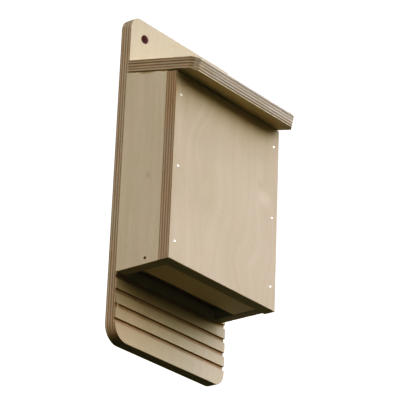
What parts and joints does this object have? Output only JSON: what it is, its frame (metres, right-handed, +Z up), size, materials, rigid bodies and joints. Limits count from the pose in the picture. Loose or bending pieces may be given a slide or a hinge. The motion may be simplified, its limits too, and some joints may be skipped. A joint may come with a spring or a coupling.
{
  "type": "bat box",
  "caption": "Flat plywood bat box nailed to a long back board with climbing grooves and two hanging holes; sloping roof, entry slot along the bottom.",
  "frame": {"origin": "middle of the back board's rear face, which lies against the wall", "axes": "+Y out of the rear face into the wall, so the front of the box faces -Y; +Z up along the back board; +X to the right of someone facing the front"},
  "size_m": [0.165, 0.0989, 0.336],
  "materials": {
    "birch_plywood": "bare sanded birch plywood, untreated, with nine plies showing on every sawn edge",
    "nail_steel": "bright steel nail, hammered flush"
  },
  "bodies": {
    "root": {"back_board": "birch_plywood", "side_panel_left": "birch_plywood", "side_panel_right": "birch_plywood", "front_panel": "birch_plywood", "floor_panel": "birch_plywood", "roof_panel": "birch_plywood", "front_nail_left_1": "nail_steel", "front_nail_left_2": "nail_steel", "front_nail_left_3": "nail_steel", "front_nail_right_1": "nail_steel", "front_nail_right_2": "nail_steel", "front_nail_right_3": "nail_steel", "back_nail_left_1": "nail_steel", "back_nail_left_2": "nail_steel", "back_nail_left_3": "nail_steel", "back_nail_right_1": "nail_steel", "back_nail_right_2": "nail_steel", "back_nail_right_3": "nail_steel", "floor_nail_left": "nail_steel", "floor_nail_right": "nail_steel", "roof_nail_left_1": "nail_steel", "roof_nail_left_2": "nail_steel", "roof_nail_right_1": "nail_steel", "roof_nail_right_2": "nail_steel"}
  },
  "joints": []
}
